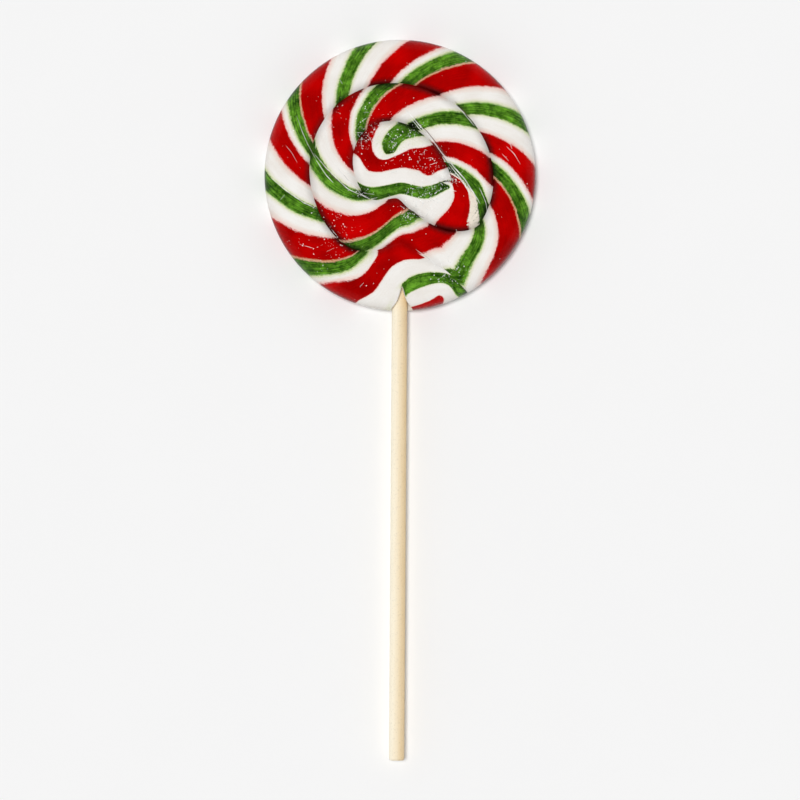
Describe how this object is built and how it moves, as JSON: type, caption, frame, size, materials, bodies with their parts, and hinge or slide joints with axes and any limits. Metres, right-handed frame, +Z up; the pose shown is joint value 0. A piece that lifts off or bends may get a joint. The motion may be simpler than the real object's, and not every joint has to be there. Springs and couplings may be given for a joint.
{
  "type": "swirl lollipop",
  "caption": "Flat round lollipop of one coiled, twisted rope of red, white and green hard candy, on a plain round wooden stick.",
  "frame": {"origin": "centre of the coil's flat underside, where it lies on a table", "axes": "+Z up out of the coil's upper face, -Y along the stick away from the coil"},
  "size_m": [0.07, 0.186, 0.0095],
  "materials": {
    "candy": "glossy boiled sugar, striped red, white and green",
    "birch": "pale, fine-grained and uncoated"
  },
  "bodies": {
    "root": {"candy_coil": "candy", "stick": "birch"}
  },
  "joints": []
}
